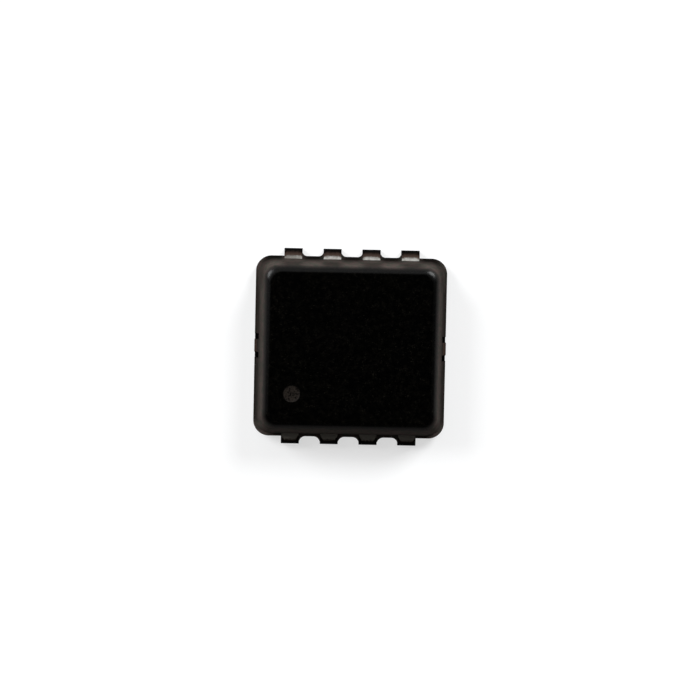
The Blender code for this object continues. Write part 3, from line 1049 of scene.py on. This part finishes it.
@dataclass
class MouldedBody:
    """The black body, moulded round the copper frame, the die and the wires."""

    sizes: Sizes
    row_ledge: float = 0.045 * MM
    end_ledge: float = 0.034 * MM
    draft: float = math.radians(13)
    upright: float = 0.26 * MM
    top_edge: float = 0.15 * MM
    halves_overlap: float = 0.03 * MM
    parting_round: float = 0.005 * MM
    drain_punch: float = 0.08 * MM
    source_punch: float = 0.11 * MM
    web_edge: float = 0.005 * MM
    nick_length: float = 0.09 * MM
    nick_depth: float = 0.07 * MM
    nick_low: float = 0.10 * MM
    nick_top: float = 0.44 * MM
    bared_length: float = 0.05 * MM
    recess_sink: float = 0.005 * MM
    nick_wall: float = 0.01 * MM
    mark_radius: float = 0.14 * MM
    mark_depth: float = 0.015 * MM
    mark_inset_x: float = 0.64 * MM
    mark_inset_y: float = 0.74 * MM
    corner_steps: int = 16
    edge_steps: int = 12
    punch_steps: int = 10
    mark_sides: int = 64
    cut_past: float = 0.05 * MM

    # How much of its radius an upright corner loses for each unit that the wall leans in
    corner_taper: float = 0.35
    # Where the middle of a small round lies, as a share of its radius
    round_middle: float = 0.3
    # The dished floor of the round mark: shares of its radius, and heights above its deepest part
    mark_floor: tuple[tuple[float, float], ...] = (
        (0.62, 0.0),
        (0.84, 0.0012 * MM),
        (0.94, 0.0045 * MM),
        (0.99, 0.0105 * MM),
    )

    def mark_place(self) -> RoundMark:
        """Where the round mark lies."""
        return RoundMark(self.mark_inset_x - self.sizes.rim_x, self.mark_inset_y - self.sizes.rim_y, self.mark_radius)

    def nick_place(self) -> Nick:
        """Where the nicks lie."""
        near = self.sizes.tie_width / 2 + self.nick_wall
        return Nick(self.sizes.rim_x - self.nick_depth, near, near + self.nick_length, self.nick_low)

    def ring(self, inset_x: float, inset_y: float, height: float, radius: float) -> list[Vector]:
        """A level ring round the body.

        Args:
            inset_x: distance in from the rim along X.
            inset_y: distance in from the rim along Y.
            height: the ring's height.
            radius: radius of its corners.

        Returns:
            The ring's points.
        """
        reach_x = self.sizes.rim_x - inset_x
        reach_y = self.sizes.rim_y - inset_y
        corners = rectangle((-reach_x, -reach_y), (reach_x, reach_y), radius)
        return [Vector((x, y, height)) for x, y in rounded_outline(corners, self.corner_steps)]

    def upper_half(self) -> bpy.types.Object:
        """The drafted half above the parting line, with its rounded top edge.

        Returns:
            The upper half, which reaches a little into the lower one.
        """
        slope = math.tan(self.draft)
        parting = self.sizes.copper
        stations = [(-self.halves_overlap * slope, parting - self.halves_overlap), (0.0, parting)]
        full = math.pi / 2 - self.draft
        cut = self.top_edge * math.tan(full / 2)
        start_z = self.sizes.top - cut * math.cos(self.draft)
        centre_z = self.sizes.top - self.top_edge
        centre = (start_z - parting) * slope + self.top_edge * math.cos(self.draft)
        for step in range(self.edge_steps + 1):
            angle = self.draft + full * step / self.edge_steps
            stations.append((centre - self.top_edge * math.cos(angle), centre_z + self.top_edge * math.sin(angle)))
        rings = []
        for lean, height in stations:
            radius = self.upright - lean * self.corner_taper
            rings.append(self.ring(self.end_ledge + lean, self.row_ledge + lean, height, radius))
        return loft("moulded_body", rings)

    def lower_half(self) -> bpy.types.Object:
        """The half below the parting line, with a small round at its rims.

        Returns:
            The lower half.
        """
        top = self.sizes.copper
        soft = self.parting_round
        stations = [
            (soft, self.sizes.standoff),
            (0.0, self.sizes.standoff + soft),
            (0.0, top - soft),
            (soft * self.round_middle, top - soft * self.round_middle),
            (soft, top),
        ]
        return loft("lower_half", [self.ring(inset, inset, height, self.upright) for inset, height in stations])

    def web(self, number: int, side: Side) -> bpy.types.Object:
        """The moulding that fills the gap between two leads as far as the punch let it.

        Args:
            number: the lead on the gap's -X side.
            side: the row.

        Returns:
            A plate with a round-cornered bay in its outer edge.
        """
        left = self.sizes.lead_x(number)
        right = self.sizes.lead_x(number + 1)
        inner_left = left + self.sizes.lead_width / 2
        inner_right = right - self.sizes.lead_width / 2
        radius = self.drain_punch if side is Side.DRAIN else self.source_punch
        reach = radius - math.sqrt(self.web_edge * (2 * radius - self.web_edge))
        root = self.sizes.rim_y - self.upright
        end = self.sizes.rim_y + reach
        bay = self.bay(inner_left, inner_right, radius, reach)
        outline = [Vector((left, root)), Vector((right, root)), Vector((right, end)), *bay, Vector((left, end))]
        rings = []
        for height in (self.sizes.standoff, self.sizes.copper):
            rings.append([Vector((x, y * side.value, height)) for x, y in outline])
        return loft(f"web_{side.name.lower()}_{number}", rings)

    def bay(self, left: float, right: float, radius: float, reach: float) -> list[Vector]:
        """The edge that a punch left between two leads: an arc at each lead, and the rim between them.

        Args:
            left: the side of the lead on the -X side.
            right: the side of the lead on the +X side.
            radius: the punch's corner radius.
            reach: how far from the rim the arcs end.

        Returns:
            Plan points from right to left.
        """
        rim = self.sizes.rim_y
        turn = math.acos(1.0 - reach / radius)
        points = []
        for step in range(self.punch_steps + 1):
            angle = turn * (1 - step / self.punch_steps)
            points.append(Vector((right - radius + radius * math.sin(angle), rim + radius * (1 - math.cos(angle)))))
        return points + [Vector((left + right - point.x, point.y)) for point in reversed(points)]

    def nick(self, side_x: int, side_y: int) -> bpy.types.Object:
        """The cutter of the blind nick beside a tie bar."""
        place = self.nick_place()
        xs = sorted((side_x * place.floor_x, side_x * (self.sizes.rim_x + self.cut_past)))
        ys = sorted((side_y * place.near_y, side_y * place.far_y))
        return prism("nick", rectangle((xs[0], ys[0]), (xs[1], ys[1])), place.low_z, self.nick_top)

    def recess(self, side_x: int) -> bpy.types.Object:
        """The cutter that bares the end of a tie bar between its two nicks."""
        reach_y = self.nick_place().near_y + self.nick_length / 2
        xs = sorted((side_x * (self.sizes.rim_x - self.bared_length), side_x * (self.sizes.rim_x + self.cut_past)))
        corners = rectangle((xs[0], -reach_y), (xs[1], reach_y))
        return prism("recess", corners, self.sizes.copper - self.recess_sink, self.nick_top)

    def mark(self) -> bpy.types.Object:
        """The cutter of the shallow round mark, with a soft rim and a dished floor.

        Returns:
            The cutter.
        """
        place = self.mark_place()
        floor = self.sizes.top - self.mark_depth
        stations = [(place.radius * share, floor + rise) for share, rise in self.mark_floor]
        stations += [(place.radius, self.sizes.top), (place.radius, self.sizes.top + self.cut_past)]
        turns = [math.tau * step / self.mark_sides for step in range(self.mark_sides)]
        rings = []
        for reach, height in stations:
            ring = [(place.x + reach * math.cos(turn), place.y + reach * math.sin(turn)) for turn in turns]
            rings.append([Vector((x, y, height)) for x, y in ring])
        return loft("mark", rings)

    def build(self, inner: Iterable[bpy.types.Object], material: bpy.types.Material) -> None:
        """Build and dress the body.

        Args:
            inner: the pieces that it is moulded round.
            material: the moulding's finish.
        """
        body = self.upper_half()
        gaps = range(self.sizes.leads_per_side - 1)
        webs = [self.web(number, side) for side in Side for number in gaps]
        combine(body, [self.lower_half(), *webs], Operation.JOIN)
        cutters = [grown_copy(piece, self.sizes.seat_gap) for piece in inner]
        cutters += [self.recess(side_x) for side_x in (-1, 1)]
        cutters += [self.nick(side_x, side_y) for side_x in (-1, 1) for side_y in (-1, 1)]
        cutters.append(self.mark())
        combine(body, cutters, Operation.CUT)
        tidy_flats(body)
        present(body, "mould_body", material, Shade.CRISP)


@dataclass(frozen=True)
class FloorFinish:
    """White board paper, which the camera and mirrors see a little lighter, so that it meets the backdrop."""

    white: Colour = (0.42, 0.42, 0.42)
    shade: Colour = (0.40, 0.40, 0.40)
    glow: float = 0.62
    cloud: Cloud = Cloud(2.0 * MM, 2.0)

    def material(self) -> bpy.types.Material:
        """Build the material.

        Returns:
            The material.
        """
        made, sheet = new_material("floor")
        tone = sheet.mix(sheet.noise(self.cloud), self.white, self.shade)
        diffuse = sheet.node("ShaderNodeBsdfDiffuse", {}, {"Color": tone})
        glow = sheet.node("ShaderNodeEmission", {}, {"Color": WHITE, "Strength": eye_share(sheet) * self.glow})
        sheet.end(sheet.node("ShaderNodeAddShader", {}, {0: diffuse, 1: glow}))
        return made


def eye_share(sheet: Sheet) -> Strand:
    """1 for rays from the camera or through a mirror or glass, and 0 for light that falls on things."""
    kinds = ("Is Camera Ray", "Is Glossy Ray", "Is Transmission Ray")
    camera, glossy, clear = (sheet.node("ShaderNodeLightPath", output=kind) for kind in kinds)
    return camera.most(glossy).most(clear)


@dataclass(frozen=True)
class Lamp:
    """A large soft lamp, far off, with its angles in degrees."""

    name: str
    azimuth: float
    elevation: float
    strength: float
    width: float
    colour: Colour = WHITE

    def build(self) -> None:
        """Hang the lamp. Azimuth is anticlockwise from +X, and its width is the angle that it fills."""
        data = bpy.data.lights.new(self.name, "SUN")
        data.energy = self.strength
        data.angle = math.radians(self.width)
        data.color = self.colour
        made = bpy.data.objects.new(self.name, data)
        bpy.context.scene.collection.objects.link(made)
        azimuth = math.radians(self.azimuth)
        elevation = math.radians(self.elevation)
        level = math.cos(elevation)
        towards = Vector((math.cos(azimuth) * level, math.sin(azimuth) * level, math.sin(elevation)))
        made.rotation_euler = towards.to_track_quat("Z", "Y").to_euler()


@dataclass(frozen=True)
class Studio:
    """Floor, backdrop, lamps and camera."""

    lamps: tuple[Lamp, ...] = (
        Lamp("lamp_left", azimuth=147.0, elevation=33.0, strength=2.6, width=28.0, colour=DAYLIGHT),
        Lamp("lamp_right", azimuth=52.0, elevation=33.0, strength=3.1, width=27.0, colour=DAYLIGHT),
        Lamp("lamp_broad", azimuth=125.0, elevation=42.0, strength=0.7, width=66.0),
    )
    ambient: float = 0.05
    ceiling: float = 0.03
    backdrop_top: float = 0.20
    ceiling_start: float = 0.60
    floor_reach: float = 0.5
    floor_parts: int = 8
    lens: float = 80.0
    nearest: float = 0.1 * MM
    farthest: float = 2.0
    distance: float = 25.7 * MM
    lean_to_drain: float = math.radians(1.8)
    lean_to_lead_1: float = math.radians(1.1)
    turn: float = math.radians(1.2)
    aim: tuple[float, float, float] = (-0.006 * MM, -0.041 * MM, 0.4 * MM)

    def build_floor(self) -> None:
        """Lay the floor on the board plane."""
        shape = bmesh.new()
        parts = self.floor_parts
        bmesh.ops.create_grid(shape, x_segments=parts, y_segments=parts, size=self.floor_reach)
        floor = new_object("floor", shape)
        dress(floor, FloorFinish().material())

    def build_world(self) -> None:
        """Set a backdrop that is white round the horizon and dark overhead, and gives little light."""
        world = bpy.data.worlds.new("backdrop")
        bpy.context.scene.world = world
        sheet = Sheet(world)
        direction = sheet.node("ShaderNodeTexCoord", output="Generated")
        height = sheet.node("ShaderNodeSeparateXYZ", inputs={0: direction}, output="Z")
        looks = height.fade(Fade(self.backdrop_top, self.ceiling_start, 1.0, self.ceiling))
        seen = eye_share(sheet)
        strength = seen * looks + (1 - seen) * self.ambient
        background = sheet.node("ShaderNodeBackground", {}, {"Color": WHITE, "Strength": strength})
        sheet.end(background, "ShaderNodeOutputWorld")

    def build_camera(self) -> None:
        """Hang the camera over the package, leaning as the photograph does."""
        data = bpy.data.cameras.new("camera")
        data.lens = self.lens
        data.clip_start = self.nearest
        data.clip_end = self.farthest
        camera = bpy.data.objects.new("camera", data)
        bpy.context.scene.collection.objects.link(camera)
        back = Vector((-math.sin(self.lean_to_lead_1), math.sin(self.lean_to_drain), 1.0)).normalized()
        up = Vector((-math.sin(self.turn), math.cos(self.turn), 0.0))
        up = (up - back * up.dot(back)).normalized()
        right = up.cross(back)
        spot = Vector(self.aim) + back * self.distance
        camera.matrix_world = Matrix.Translation(spot) @ Matrix((right, up, back)).transposed().to_4x4()
        bpy.context.scene.camera = camera

    def build(self) -> None:
        """Build the whole studio."""
        self.build_floor()
        self.build_world()
        for lamp in self.lamps:
            lamp.build()
        self.build_camera()
        bpy.context.scene.view_settings.view_transform = "Standard"
        log.info("studio: %d lamps", len(self.lamps))


def main() -> None:
    """Build the fine pieces, dress everything and set up the studio."""
    logging.basicConfig(level=logging.INFO, format="%(message)s")
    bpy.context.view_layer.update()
    sizes = Sizes.from_frame()

    copper_frame = CopperFrame(sizes)
    copper_frame.build(TinnedCopperFinish(sizes).material())

    metal_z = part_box("silicon_die")[1].z
    finishes: dict[str, tuple[Slot, bpy.types.Material]] = {
        "silicon_die": (Slot.SILICON, SiliconFinish(metal_z).material()),
        "die_solder": (Slot.SOLDER, SOLDER_FINISH.material()),
    }
    wire = WIRE_FINISH.material()
    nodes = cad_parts
    wires = sorted(name for name in nodes if "wire" in name)
    finishes.update({name: (Slot.COPPER, wire) for name in wires})
    for name, (slot, material) in finishes.items():
        dress(nodes[name], material)
        log.info("%s: finished in %s", name, slot.value)

    body = MouldedBody(sizes)
    finish = MouldingFinish(sizes, body.mark_place(), body.nick_place())
    inner = [*copper_frame.pieces.values(), *(nodes[name] for name in finishes)]
    body.build(inner, finish.material())

    Studio().build()


if __name__ == "__main__":
    main()
